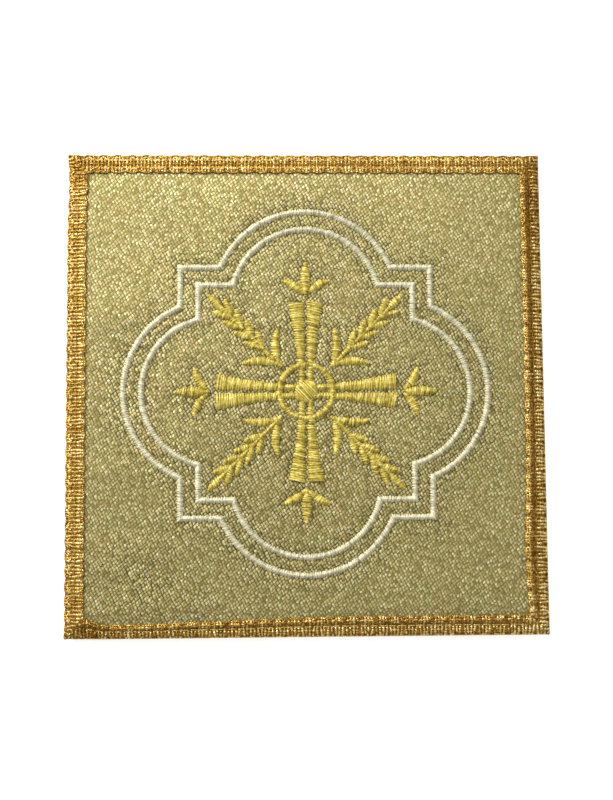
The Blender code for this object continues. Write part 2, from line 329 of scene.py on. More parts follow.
def dent(x, y):
    """How far the left side is pushed in."""
    share = np.maximum(0.0, -x / (WIDTH / 2))
    return DENT_DEPTH * share**4 * np.exp(-(((y - DENT_Y) / DENT_LENGTH) ** 2))


def cloth_half_size():
    """Half the cloth's width and half its length."""
    return WIDTH / 2 - BRAID_OVERHANG, LENGTH / 2 - BRAID_OVERHANG


def ripple_height(x, y):
    """The height that the soft ripples add to the face."""
    total = np.zeros_like(x)
    for centre_x, centre_y, reach, breadth, slope, height in RIPPLES:
        along = (x - centre_x * MM) / (reach * MM)
        across = (y - centre_y * MM - slope * (x - centre_x * MM)) / (breadth * MM)
        total += height * MM * np.exp(-along * along - across * across)
    return total


def cloth_top(x, y):
    """The height of the cloth's face before the stitching draws it in."""
    half_width, half_length = cloth_half_size()
    inset = np.minimum(half_width - np.abs(x), half_length - np.abs(y))
    fall = RIM_FALL * np.maximum(0.0, 1 - inset / RIM_REACH) ** 2
    inside = np.clip(inset / RIM_REACH, 0.0, 1.0)
    crown = CROWN * (1 - (x / half_width) ** 2) * (1 - (y / half_length) ** 2)
    return THICKNESS - fall + inside * (crown + ripple_height(x, y))


def unit(vectors):
    """The same directions with length 1."""
    return vectors / np.linalg.norm(vectors, axis=-1, keepdims=True)


def ring_faces(rings, sides, closed):
    """The quads between one ring of points and the next, and the caps of a body with two ends."""
    ring = np.arange(rings if closed else rings - 1)[:, None] * sides
    following = (ring + sides) % (rings * sides)
    place = np.arange(sides)[None]
    after = (place + 1) % sides
    quads = np.stack([ring + place, following + place, following + after, ring + after], axis=-1)
    if closed:
        return [quads.reshape(-1, 4)]
    first = np.arange(sides)
    last = (rings - 1) * sides + first[::-1]
    return [quads.reshape(-1, 4), np.array([first, last])]


class Bodies:
    """Many closed bodies that become one piece, with a tone and a twist for each point."""

    def __init__(self):
        self.points = []
        self.faces = []
        self.tones = []
        self.twists = []
        self.count = 0

    def add(self, rings, tones, closed=False, twists=None):
        """Add bodies from an array of bodies, rings, sides and coordinates.

        There is a tone for each body, or one for each of its rings.
        """
        bodies, stations, sides, _ = rings.shape
        starts = self.count + np.arange(bodies) * stations * sides
        for faces in ring_faces(stations, sides, closed):
            self.faces.append((faces[None] + starts[:, None, None]).reshape(-1, faces.shape[1]))
        self.points.append(rings.reshape(-1, 3))
        self.tones.append(np.broadcast_to(tones.reshape(bodies, -1, 1), rings.shape[:3]).ravel())
        twists = np.zeros(rings.shape) if twists is None else twists
        self.twists.append(twists.reshape(-1, 3))
        self.count += bodies * stations * sides

    def add_tubes(self, lines, radii, tones, sides=THREAD_SIDES, closed=False, taper=1.0, bead=0.0):
        """Add round threads along an array of lines, stations and coordinates."""
        if closed:
            ahead = unit(np.roll(lines, -1, axis=1) - np.roll(lines, 1, axis=1))
        else:
            ahead = unit(np.gradient(lines, axis=1))
        right = unit(np.cross(ahead, (0.0, 0.0, 1.0)))
        up = np.cross(right, ahead)
        angles = 2 * math.pi * np.arange(sides) / sides
        stations = lines.shape[1]
        size = 1 + bead * (-1.0) ** np.arange(1, stations + 1)
        size[[0, -1]] = taper
        wide, tall = (radius * size[None, :, None, None] for radius in radii)
        cosine = np.cos(angles)[None, None, :, None]
        sine = np.sin(angles)[None, None, :, None]
        rings = lines[:, :, None] + right[:, :, None] * cosine * wide + up[:, :, None] * sine * tall
        steps = np.linalg.norm(np.diff(lines, axis=1), axis=-1)
        along = np.concatenate([np.zeros((len(lines), 1)), np.cumsum(steps, axis=1)], axis=1) / MM
        twists = np.empty(rings.shape)
        twists[..., 0] = along[:, :, None]
        twists[..., 1] = np.cos(angles)
        twists[..., 2] = np.sin(angles)
        self.add(rings, tones, closed, twists)

    def make(self, name, material):
        """Turn the bodies into one object."""
        return make_mesh(
            name,
            np.concatenate(self.points),
            self.faces,
            material,
            np.concatenate(self.tones),
            np.concatenate(self.twists),
        )


def new_object(name, data):
    """A new object in the scene."""
    made = bpy.data.objects.new(name, data)
    bpy.context.scene.collection.objects.link(made)
    return made


def make_mesh(name, points, face_groups, material, tone, twist):
    """An object from points and groups of faces, each group with one number of corners."""
    mesh = bpy.data.meshes.new(name)
    mesh.vertices.add(len(points))
    mesh.vertices.foreach_set("co", points.astype(np.float32).ravel())
    corners = np.concatenate([faces.ravel() for faces in face_groups])
    sizes = np.concatenate([np.full(len(faces), faces.shape[1]) for faces in face_groups])
    mesh.loops.add(len(corners))
    mesh.loops.foreach_set("vertex_index", corners.astype(np.int32))
    mesh.polygons.add(len(sizes))
    mesh.polygons.foreach_set("loop_start", (np.cumsum(sizes) - sizes).astype(np.int32))
    mesh.update(calc_edges=True)
    tones = mesh.attributes.new("tone", "FLOAT", "POINT")
    tones.data.foreach_set("value", tone.astype(np.float32))
    twists = mesh.attributes.new("twist", "FLOAT_VECTOR", "POINT")
    twists.data.foreach_set("vector", twist.astype(np.float32).ravel())
    mesh.materials.append(material)
    mesh.shade_smooth()
    return new_object(name, mesh)


def add_node(tree, kind, inputs=(), **settings):
    """Add a shader node, and set or link its inputs, given as pairs of a name or number and a value."""
    made = tree.nodes.new(kind)
    for key, value in settings.items():
        setattr(made, key, value)
    for key, value in dict(inputs).items():
        if isinstance(value, bpy.types.NodeSocket):
            tree.links.new(value, made.inputs[key])
        else:
            made.inputs[key].default_value = value
    return made


def maths(tree, operation, first, second=0.0, third=0.0):
    """One number from up to three others."""
    inputs = {0: first, 1: second, 2: third}
    return add_node(tree, "ShaderNodeMath", inputs, operation=operation).outputs[0]


def vector_maths(tree, operation, first, second=(0.0, 0.0, 0.0)):
    """A vector node with two vectors in."""
    return add_node(tree, "ShaderNodeVectorMath", {0: first, 1: second}, operation=operation)


def to_range(tree, value, low, high, to_low, to_high):
    """Move a number from one range to another, and hold it there."""
    inputs = {0: value, 1: low, 2: high, 3: to_low, 4: to_high}
    return add_node(tree, "ShaderNodeMapRange", inputs).outputs[0]


def mix_colours(tree, share, first, second, blend="MIX"):
    """One colour from two."""
    inputs = {0: share, 6: first, 7: second}
    made = add_node(tree, "ShaderNodeMix", inputs, data_type="RGBA", blend_type=blend)
    return made.outputs[2]


def scaled(tree, vector, amount):
    """A vector times a number."""
    inputs = {0: vector, "Scale": amount}
    return add_node(tree, "ShaderNodeVectorMath", inputs, operation="SCALE").outputs[0]


def colour_ramp(tree, value, stops):
    """A colour for a number, from stops given as rows of a place and three parts of a colour."""
    ramp = add_node(tree, "ShaderNodeValToRGB", {0: value})
    elements = ramp.color_ramp.elements
    while len(elements) < len(stops):
        elements.new(0.5)
    for element, (place, *colour) in zip(elements, stops):
        element.position = place
        element.color = (*colour, 1)
    return ramp.outputs[0]


def millimetres(tree):
    """Places on the object in millimetres."""
    return scaled(tree, add_node(tree, "ShaderNodeTexCoord").outputs["Object"], 1 / MM)


def noise_value(tree, place, scale, detail=2.0, roughness=0.5):
    """A soft random number, from 0 to 1, at a place."""
    inputs = {"Vector": place, "Scale": scale, "Detail": detail, "Roughness": roughness}
    return add_node(tree, "ShaderNodeTexNoise", inputs).outputs[0]


def drifting(tree, noise_here, low, high):
    """A soft random number, spread from low to high."""
    return to_range(tree, noise_here, 0.3, 0.7, low, high)


def attribute(tree, name, output="Fac"):
    """What the mesh holds for each of its points."""
    return add_node(tree, "ShaderNodeAttribute", attribute_name=name).outputs[output]


def add_bump(tree, shader, strength, distance, inputs):
    """Bump the shader's surface by a height."""
    inputs = {"Strength": strength, "Distance": distance * MM, **inputs}
    bump = add_node(tree, "ShaderNodeBump", inputs)
    tree.links.new(bump.outputs[0], shader.inputs["Normal"])


def start_material(name, roughness, metallic):
    """A new material with its node tree and shader."""
    material = bpy.data.materials.new(name)
    material.use_nodes = True
    shader = material.node_tree.nodes["Principled BSDF"]
    shader.inputs["Roughness"].default_value = roughness
    shader.inputs["Metallic"].default_value = metallic
    return material, material.node_tree, shader


# One short float of metal yarn shows in each cell of the weave. These turn a place in millimetres
# into cell counts, and the floats run along the second direction
CELL_ACROSS = (0.8956, 0.4478, 0.9)
CELL_ALONG = (0.6413, -0.7758, -0.3)
FLOAT_HALF_ACROSS = 0.37
FLOAT_HALF_ALONG = 0.385
FLOAT_STRAY = 0.14          # how far a float lies from its cell's middle, at most
FLOAT_SQUARENESS = 4.0      # 2 makes a float an oval, and more squares its corners
FLOAT_EDGE = (1.5, 0.4)     # a float fades in between these, where 1 is its outline
FLOAT_ROUGHNESS = (0.56, 0.47)
FLOAT_BUMP = (0.20, 0.10)   # strength, and height in mm
FLOAT_LEAN = (0.06, 0.60)   # how much the floats lean about, far from the stitching and beside it
CLOTH_GROUND = (0.205, 0.166, 0.054, 1)
# The ground where the weave is pulled is darker: a painted shade in the opened, puckered weave
SHADED_PULLED_GROUND = (0.088, 0.068, 0.020, 1)
CLOTH_GREENER = (0.97, 1.006, 0.95, 1)
CLOTH_REDDER = (1.03, 0.990, 0.98, 1)
# Each float's tone by its luck: partly the floats' own tone, partly painted glints on the palest floats
FLOAT_TONE_AND_GLINT_STOPS = (
    (0.00, 0.26, 0.215, 0.065),
    (0.20, 0.39, 0.330, 0.120),
    (0.50, 0.49, 0.420, 0.174),
    (0.85, 0.61, 0.535, 0.255),
    (1.00, 0.80, 0.725, 0.420),
)
CLOTH_ROUGHNESS = 0.4       # for a viewer that can't read the float's own
CLOTH_METALLIC = 0.70
WEAVE_WANDER = {"Scale": 0.4, "Detail": 4.0, "Roughness": 0.62}
MIDDLE = (0.5, 0.5, 0.5)

# Noise for each millimetre, and what it multiplies the cloth's colour by
BROAD_SHADE = (0.045, 0.95, 1.05)
FINE_SHADE = (3.2, 0.74, 1.28)
TINT_SCALE = 0.3


def float_cells(tree, place):
    """How much of a float covers each place, and the random numbers of its cell."""
    wander = add_node(tree, "ShaderNodeTexNoise", {"Vector": place, **WEAVE_WANDER})
    shift = vector_maths(tree, "SUBTRACT", wander.outputs["Color"], MIDDLE).outputs[0]
    warped = vector_maths(tree, "ADD", place, shift).outputs[0]
    across = vector_maths(tree, "DOT_PRODUCT", warped, CELL_ACROSS).outputs["Value"]
    along = vector_maths(tree, "DOT_PRODUCT", warped, CELL_ALONG).outputs["Value"]
    counts = {0: maths(tree, "FLOOR", across), 1: maths(tree, "FLOOR", along)}
    cell = add_node(tree, "ShaderNodeCombineXYZ", counts).outputs[0]
    dice = add_node(tree, "ShaderNodeTexWhiteNoise", {"Vector": cell}, noise_dimensions="3D")
    parts = add_node(tree, "ShaderNodeSeparateXYZ", {0: dice.outputs["Color"]}).outputs
    reach = 0.0
    for count, part, half in ((across, parts[0], FLOAT_HALF_ACROSS), (along, parts[1], FLOAT_HALF_ALONG)):
        middle = to_range(tree, part, 0, 1, 0.5 - FLOAT_STRAY, 0.5 + FLOAT_STRAY)
        off = maths(tree, "SUBTRACT", maths(tree, "FRACT", count), middle)
        share = maths(tree, "POWER", maths(tree, "DIVIDE", off, half), FLOAT_SQUARENESS)
        reach = maths(tree, "ADD", share, reach)
    return to_range(tree, reach, *FLOAT_EDGE, 0.0, 1.0), dice


def cloth_material():
    """Metallic cloth: short floats that glint one by one over a ground, with painted shade in the ground
    where the weave is pulled.
    """
    material, tree, shader = start_material("gold_lame", CLOTH_ROUGHNESS, CLOTH_METALLIC)
    place = millimetres(tree)
    floats, dice = float_cells(tree, place)
    luck = dice.outputs["Value"]
    pull = attribute(tree, "pull")
    # Painted shade in the ground where the weave is pulled
    ground = mix_colours(tree, pull, CLOTH_GROUND, SHADED_PULLED_GROUND)
    colour = mix_colours(tree, floats, ground, colour_ramp(tree, luck, FLOAT_TONE_AND_GLINT_STOPS))
    patches = to_range(tree, noise_value(tree, place, TINT_SCALE), 0.35, 0.65, 0.0, 1.0)
    tint = mix_colours(tree, patches, CLOTH_GREENER, CLOTH_REDDER)
    colour = mix_colours(tree, 1.0, colour, tint, "MULTIPLY")
    shades = [drifting(tree, noise_value(tree, place, scale), low, high)
              for scale, low, high in (BROAD_SHADE, FINE_SHADE)]
    shade = maths(tree, "MULTIPLY", *shades)
    grey = add_node(tree, "ShaderNodeCombineXYZ", {0: shade, 1: shade, 2: shade}).outputs[0]
    tree.links.new(mix_colours(tree, 1.0, colour, grey, "MULTIPLY"), shader.inputs["Base Color"])

    tree.links.new(to_range(tree, luck, 0.0, 1.0, *FLOAT_ROUGHNESS), shader.inputs["Roughness"])
    normal = add_node(tree, "ShaderNodeNewGeometry").outputs["Normal"]
    lean = vector_maths(tree, "SUBTRACT", dice.outputs["Color"], MIDDLE).outputs[0]
    lean = vector_maths(tree, "MULTIPLY", lean, (1.0, 1.0, 0.0)).outputs[0]
    lean = scaled(tree, lean, to_range(tree, pull, 0, 1, *FLOAT_LEAN))
    leaning = vector_maths(tree, "ADD", normal, lean).outputs[0]
    leaning = vector_maths(tree, "NORMALIZE", leaning).outputs[0]
    add_bump(tree, shader, *FLOAT_BUMP, {"Height": floats, "Normal": leaning})
    return material


# Threads and yarns. A noise is given by its scale for each millimetre, detail and roughness, a bump
# by its strength and its height in mm, and a twist by its pitch in mm and its number of strands
WHITE_ROUGHNESS = 0.42
GOLD_ROUGHNESS = 0.36
THREAD_SHEEN = 0.1
THREAD_SHEEN_ROUGHNESS = 0.4
THREAD_NOISE = (0.8, 3.0, 0.6)
THREAD_DRIFT = 0.30
THREAD_BUMP = (0.5, 0.03)
THREAD_TWIST = (0.7, 1)
WHITE_STOPS = (
    # place, red, green, blue
    (0.00, 0.30, 0.262, 0.150),
    (0.50, 0.66, 0.610, 0.395),
    (1.00, 0.88, 0.830, 0.600),
)
GOLD_STOPS = (
    (0.00, 0.18, 0.110, 0.006),
    (0.50, 0.55, 0.420, 0.040),
    (1.00, 0.92, 0.810, 0.230),
)
YARN_ROUGHNESS = 0.42
YARN_METALLIC = 0.82
YARN_SPECULAR = 0.1
YARN_NOISE = (1.9, 2.0, 0.6)
YARN_NOISE_HEIGHT = 1.2     # against the twist's
YARN_DRIFT = 0.34
YARN_BUMP = (0.7, 0.08)
YARN_TWIST = (1.4, 2)
BRAID_STOPS = (
    (0.00, 0.14, 0.060, 0.008),
    (0.30, 0.33, 0.175, 0.026),
    (0.62, 0.54, 0.335, 0.080),
    (0.85, 0.70, 0.500, 0.150),
    (1.00, 0.90, 0.770, 0.380),
)


def twist_height(tree, pitch_mm, strands):
    """The ply of a twisted thread: ridges that wind round it."""
    parts = add_node(tree, "ShaderNodeSeparateXYZ", {0: attribute(tree, "twist", "Vector")}).outputs
    turn = maths(tree, "MULTIPLY", parts[0], 2 * math.pi * strands / pitch_mm)
    first = maths(tree, "MULTIPLY", maths(tree, "SINE", turn), parts[1])
    second = maths(tree, "MULTIPLY", maths(tree, "COSINE", turn), parts[2])
    return maths(tree, "ADD", first, second)


def add_tones(tree, shader, noise_here, reach, stops):
    """Colour a piece by the tone of each of its points, which drifts a little."""
    drift = drifting(tree, noise_here, -reach, reach)
    colour = colour_ramp(tree, maths(tree, "ADD", attribute(tree, "tone"), drift), stops)
    tree.links.new(colour, shader.inputs["Base Color"])


def thread_material(name, stops, roughness):
    """Shiny embroidery thread, a little different from stitch to stitch."""
    material, tree, shader = start_material(name, roughness, 0.0)
    shader.inputs["Sheen Weight"].default_value = THREAD_SHEEN
    shader.inputs["Sheen Roughness"].default_value = THREAD_SHEEN_ROUGHNESS
    noise_here = noise_value(tree, millimetres(tree), *THREAD_NOISE)
    add_tones(tree, shader, noise_here, THREAD_DRIFT, stops)
    add_bump(tree, shader, *THREAD_BUMP, {"Height": twist_height(tree, *THREAD_TWIST)})
    return material


def braid_material():
    """Twisted metal yarn over a darker ground."""
    material, tree, shader = start_material("braid_yarn", YARN_ROUGHNESS, YARN_METALLIC)
    shader.inputs["Specular IOR Level"].default_value = YARN_SPECULAR
    noise_here = noise_value(tree, millimetres(tree), *YARN_NOISE)
    add_tones(tree, shader, noise_here, YARN_DRIFT, BRAID_STOPS)
    twist = twist_height(tree, *YARN_TWIST)
    height = maths(tree, "MULTIPLY_ADD", noise_here, YARN_NOISE_HEIGHT, twist)
    add_bump(tree, shader, *YARN_BUMP, {"Height": height})
    return material


def turned(rows, quarters):
    """The same column, turned about the middle of the pall by quarters of a turn."""
    angle = quarters * math.pi / 2
    rows = np.array(rows, float)
    x = rows[:, 0] * math.cos(angle) - rows[:, 1] * math.sin(angle)
    y = rows[:, 0] * math.sin(angle) + rows[:, 1] * math.cos(angle)
    return np.column_stack([x, y, rows[:, 2:]])


def eased(rows, closed):
    """The column with points near the ends of each long step, so that threads fan only at a corner."""
    following = np.vstack([rows[1:], rows[:1]]) if closed else rows[1:]
    made = []
    for row, after in zip(rows, following):
        made.append(row)
        step = np.linalg.norm(after[:2] - row[:2])
        if step > LONG_STEP:
            made.append(row + (after - row) * CORNER_REACH / step)
            made.append(after + (row - after) * CORNER_REACH / step)
    if not closed:
        made.append(rows[-1])
    return np.array(made)


def sideways(path, closed):
    """The way to the left at each point of a path, longer at a corner so that the width holds."""
    steps = np.roll(path, -1, axis=0) - path
    sides = unit(np.column_stack([-steps[:, 1], steps[:, 0]]))
    if not closed:
        sides[-1] = sides[-2]
    before = np.roll(sides, 1, axis=0)
    if not closed:
        before[0] = sides[0]
    middle = (before + sides) / 2
    return middle / (middle**2).sum(axis=1, keepdims=True)


class Column:
    """A satin column: rows of x, y, width and the height of its top, and where its threads run."""

    def __init__(self, rows, closed=False):
        rows = eased(np.array(rows, float), closed)
        sides = sideways(rows[:, :2], closed) * rows[:, 2:3] / 2
        if closed:
            rows = np.vstack([rows, rows[:1]])
            sides = np.vstack([sides, sides[:1]])
        left = np.diff(rows[:, :2] + sides, axis=0)
        right = np.diff(rows[:, :2] - sides, axis=0)
        steps = np.maximum(np.linalg.norm(left, axis=1), np.linalg.norm(right, axis=1))
        self.rows = rows
        self.sides = sides
        self.closed = closed
        self.measure = np.concatenate([[0.0], np.cumsum(steps)])

    def points(self, along, across, rise_share=1.0, spare=0.0):
        """Points at a place along the column and a share of the way from its right side to its left."""
        total = self.measure[-1]
        along = along % total if self.closed else np.clip(along, 0, total)
        x, y, width, rise = (np.interp(along, self.measure, values) for values in self.rows.T)
        side_x, side_y = (np.interp(along, self.measure, values) for values in self.sides.T)
        reach = (2 * across - 1) * (1 + 2 * spare / width)
        x = x + side_x * reach
        y = y + side_y * reach
        in_from_edge = np.minimum(across, 1 - across) * width
        shoulder = 1 - (1 - np.minimum(1.0, in_from_edge / SHOULDER)) ** SHOULDER_POWER
        height = THREAD_LOW + (rise * rise_share - THREAD_LOW) * shoulder
        return np.stack([x, y, cloth_top(x, y) + height], axis=-1)

    def threads(self, random):
        """The threads' middle lines, which go to and fro across the column."""
        total = self.measure[-1]
        count = max(2, round(total / THREAD_PITCH))
        stray_along, stray_across, stray_up = THREAD_STRAYS
        place = (np.arange(count) + 0.5) * total / count + random.normal(0, stray_along, count)
        slant = THREAD_SLANT + np.where(np.arange(count) % 2, THREAD_ZIGZAG, -THREAD_ZIGZAG)
        across = (1 - np.cos(math.pi * np.arange(THREAD_STATIONS) / (THREAD_STATIONS - 1))) / 2
        along = place[:, None] + slant[:, None] * (2 * across - 1)
        spare = random.normal(0, stray_across, (count, 1))
        lines = self.points(along, np.broadcast_to(across, along.shape), spare=spare)
        lines[..., 2] += random.normal(0, stray_up, (count, 1))
        return lines

    def underlay(self):
        """The padding under the threads: one body of rings across the column."""
        total = self.measure[-1]
        count = max(4, round(total / MM))
        along = np.arange(count) * total / count if self.closed else np.linspace(0, total, count)
        top = np.meshgrid(along, UNDERLAY_ACROSS, indexing="ij")
        top = self.points(*top, rise_share=UNDERLAY_SHARE)
        under = self.points(*np.meshgrid(along, UNDERLAY_ACROSS[::-2], indexing="ij"))
        under[..., 2] = cloth_top(under[..., 0], under[..., 1]) + UNDERLAY_LOW
        return np.concatenate([top, under], axis=1)[None]


def add_column(bodies, column, random, stitched):
    """Add a column's threads and underlay to a piece, and its threads' places to those stitched."""
    lines = column.threads(random)
    tones = np.clip(random.normal(THREAD_TONE, THREAD_TONE_SPREAD, len(lines)), 0.1, 1.0)
    bodies.add_tubes(lines, THREAD_RADII, tones, taper=0.7)
    # The underlay's dark tone is a painted shade between the threads
    bodies.add(column.underlay(), np.array([UNDERLAY_SHADE_TONE]), column.closed)
    stitched.append(lines[:, :, :2].reshape(-1, 2))


def rise(level=0):
    """The height of a column's top when it crosses others."""
    return THREAD_RISE + level * LEVEL_RISE


def quatrefoil(lobe_middle, lobe_radius, barb_side):
    """Four round lobes and four square barbs, as one closed column."""
    half_angle = math.acos((barb_side - lobe_middle) / lobe_radius)
    turns = half_angle * (2 * np.arange(LOBE_STEPS + 1) / LOBE_STEPS - 1)
    lobe = np.column_stack([lobe_middle + lobe_radius * np.cos(turns), lobe_radius * np.sin(turns)])
    path = np.vstack([lobe, [(barb_side, barb_side)]])
    rows = np.column_stack([path, np.full(len(path), LINE_WIDTH), np.full(len(path), rise())])
    return Column(np.vstack([turned(rows, quarter) for quarter in range(4)]), closed=True)


def arm_wedge(side):
    """One wedge of the arm that lies along +X."""
    share = np.linspace(0, 1, ARM_STEPS + 1)
    width = ARM_NARROW + (ARM_WIDE - ARM_NARROW) * share**ARM_FLARE
    along = ARM_START + (ARM_END - ARM_START) * share
    return np.column_stack([along, side * (ARM_SPLIT + width) / 2, width, np.full(len(share), rise())])


def ring():
    """The ring over the arms of the cross."""
    turns = 2 * math.pi * np.arange(RING_STEPS) / RING_STEPS
    path = RING_RADIUS * np.column_stack([np.cos(turns), np.sin(turns)])
    rows = np.column_stack([path, np.full(RING_STEPS, LINE_WIDTH), np.full(RING_STEPS, rise(2))])
    return Column(rows, closed=True)


def boss():
    """The boss, as a padded disc of threads."""
    share = np.sin(np.linspace(-BOSS_REACH, BOSS_REACH, BOSS_STEPS + 1) * math.pi)
    chord = np.sqrt(1 - share**2)
    rows = [BOSS_RADIUS * share, 0 * share, 2 * BOSS_RADIUS * chord, rise(1) + BOSS_RISE * chord]
    return Column(turned(np.column_stack(rows), 0.5))


def leaf(quarters, side, sizes, level):
    """A leaf, petal or grain: it swells to its middle, and its heading turns steadily along it."""
    start, length, width, heading, turn = sizes
    steps = np.arange(1, LEAF_STEPS + 1)
    angles = np.radians(heading + turn * (steps - 0.5) / LEAF_STEPS)
    moves = np.column_stack([np.cos(angles), np.sin(angles)]) * length * MM / LEAF_STEPS
    path = np.array([start * MM, side * MM]) + np.vstack([[(0, 0)], np.cumsum(moves, axis=0)])
    swell = np.maximum(0.0, np.sin(math.pi * np.arange(LEAF_STEPS + 1) / LEAF_STEPS)) ** LEAF_FULLNESS
    widths = LEAF_TIP + (width * MM - LEAF_TIP) * swell
    rows = np.column_stack([path, widths, np.full(len(path), rise(level))])
    return Column(turned(rows, quarters))


def bud(arm):
    """The three petals beyond the end of one arm of the cross."""
    return [
        leaf(arm, side, (start, length, width, heading, turn), level)
        for start, side, length, width, heading, turn, level in BUD_PETALS
    ]


def mirrored(sizes, side):
    """The sizes of a leaf on one side of a stalk, 1 for its left and -1 for its right."""
    start, length, width, heading, turn = sizes
    return start, length, width, side * heading, side * turn


def ear(corner):
    """An ear of wheat on its stalk, with two leaves, between two arms of the cross."""
    quarters = corner + 0.5
    along = np.linspace(STALK_START, STALK_END, STALK_STEPS + 1)
    stalk = np.column_stack([along, 0 * along, 0 * along + STALK_WIDTH, 0 * along + rise(2)])
    columns = [Column(turned(stalk, quarters)), leaf(quarters, 0, TOP_GRAIN, 0)]
    rows = [EAR_LEAF]
    rows += [(EAR_GRAIN[0] + GRAIN_PITCH * pair, *EAR_GRAIN[1:]) for pair in range(GRAIN_PAIRS)]
    for sizes in rows:
        for level, side in enumerate((-1, 1)):
            columns.append(leaf(quarters, 0, mirrored(sizes, side), level))
    return columns


def make_stitching(white, gold):
    """The stitched pieces, one for each stitched node, and the places where their threads lie."""
    random = np.random.default_rng(5)
    plan = [(name, "white_thread", white, [quatrefoil(*(size * MM for size in sizes))])
            for name, *sizes in QUATREFOILS]
    wedges = [Column(turned(arm_wedge(side), arm)) for arm in range(4) for side in (-1, 1)]
    plan.append(("gold_cross", "gold_thread", gold, [*wedges, ring(), boss()]))
    plan += [(f"gold_bud_{arm}", "gold_thread", gold, bud(arm)) for arm in range(4)]
    plan += [(f"gold_ear_{corner}", "gold_thread", gold, ear(corner)) for corner in range(4)]
    pieces = []
    stitched = []
    for node, slot, material, columns in plan:
        bodies = Bodies()
        for column in columns:
            add_column(bodies, column, random, stitched)
        piece = bodies.make("satin_" + node, material)
        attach(piece, "root")
        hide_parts(node)
        pieces.append(piece)
    return pieces, np.vstack(stitched)


def spread(side, along, inset):
    """An inset, changed where the braid lies wider or narrower than elsewhere."""
    rows = BRAID_SPREADS.get(side, ((0, 0.0),))
    wider = np.interp(along / MM, *np.transpose(rows)) * MM
    return inset * (1 + wider / BRAID_WIDTH)


def braid_points(side, along, inset, height):
    """Places on one side of the braid."""
    across = side % 2 == 0
    inset = spread(side, along, inset)
    outwards = (LENGTH if across else WIDTH) / 2 - inset
    turn = -side * math.pi / 2
    x = along * math.cos(turn) - outwards * math.sin(turn)
    y = along * math.sin(turn) + outwards * math.cos(turn)
    x = x + dent(x, y)
    return np.stack([x, y, cloth_top(x, y) + height], axis=-1)


def mitred(side, along, inset):
    """Places along one side that crowd together near its ends, so that each line turns on the mitre."""
    straight = side_run(side) / 2 - 2 * BRAID_WIDTH
    past = np.maximum(0.0, np.abs(along) - straight)
    crowded = np.minimum(np.abs(along), straight) + past * (1 - inset / (2 * BRAID_WIDTH))
    return np.sign(along) * crowded


def scallop_phase(place):
    """The phase in a scallop, from 0 to 1, for a share of a side. Each corner is a crest."""
    scallop = place * SCALLOPS
    at_corner = (scallop < 0.5) | (scallop > SCALLOPS - 0.5)
    return np.where(at_corner, 0.5, scallop % 1)


def scalloped(side, inset, phase):
    """An inset that follows the scallops of the nearer edge, whose notches are sharp."""
    outer_share = 1 - 2 * inset / BRAID_WIDTH
    depth = np.where(outer_share > 0, OUTER_SCALLOPS[side], INNER_SCALLOP)
    return inset + depth * outer_share * np.abs(2 * phase - 1) ** NOTCH_SHARPNESS


def painted_shade_and_fold_tone(side, along):
    """What the ribs' tone changes by along stretches of a side: painted shade along the top of the right
    side, and patches at the folded corners.
    """
    total = 0.0
    for shaded_side, middle, reach, change in BRAID_SHADE_AND_FOLD_TONES:
        if shaded_side == side:
            total = total + change * np.exp(-(((along - middle * MM) / (reach * MM)) ** 2))
    return total


def rib_height(inset):
    """The height of a rib's middle above the cloth at a distance from the outer edge."""
    start, end = RIB_SPAN
    in_from_end = np.minimum(inset - start, end - inset)
    body = BRAID_EDGE + (BRAID_GROOVE - BRAID_EDGE) * np.clip(in_from_end / RIB_END_REACH, 0, 1)
    for place, breadth, height in BRAID_CRESTS:
        swell = np.exp(-(((inset / MM - place) / breadth) ** 2))
        body = body + (height * MM - BRAID_GROOVE) * swell
    return body


def groove_dip(side, inset, phase):
    """How far a rib dips in the groove, which waves from scallop to scallop."""
    middle = GROOVE_INSETS[side] + GROOVE_WAVE * np.abs(2 * phase - 1) ** 1.5
    return GROOVE_DIPS[side] * np.exp(-(((inset - middle) / GROOVE_HALVES[side]) ** 4))


def notch_painted_shade(side, place, inset):
    """How much painted shade darkens the braid's inner band along the leaning line between two scallops.
    """
    phase = (place * SCALLOPS + NOTCH_LEAN * (inset / MM - NOTCH_MIDDLE)) % 1
    band = np.interp(inset / MM, NOTCH_BAND, (0, 1))
    return NOTCH_PAINTED_SHADES[side] * band * np.abs(2 * phase - 1) ** NOTCH_SHARPNESS


def side_run(side):
    """The length of one side of the pall."""
    return WIDTH if side % 2 == 0 else LENGTH


def around_braid(per_scallop, inset, height):
    """A closed line round the braid that follows its scallops."""
    lines = []
    for side in range(4):
        count = SCALLOPS * per_scallop
        place = (np.arange(count) + 0.5) / count
        line_inset = scalloped(side, inset, scallop_phase(place))
        along = mitred(side, (place - 0.5) * side_run(side), line_inset)
        lines.append(braid_points(side, along, line_inset, height))
    return np.concatenate(lines)


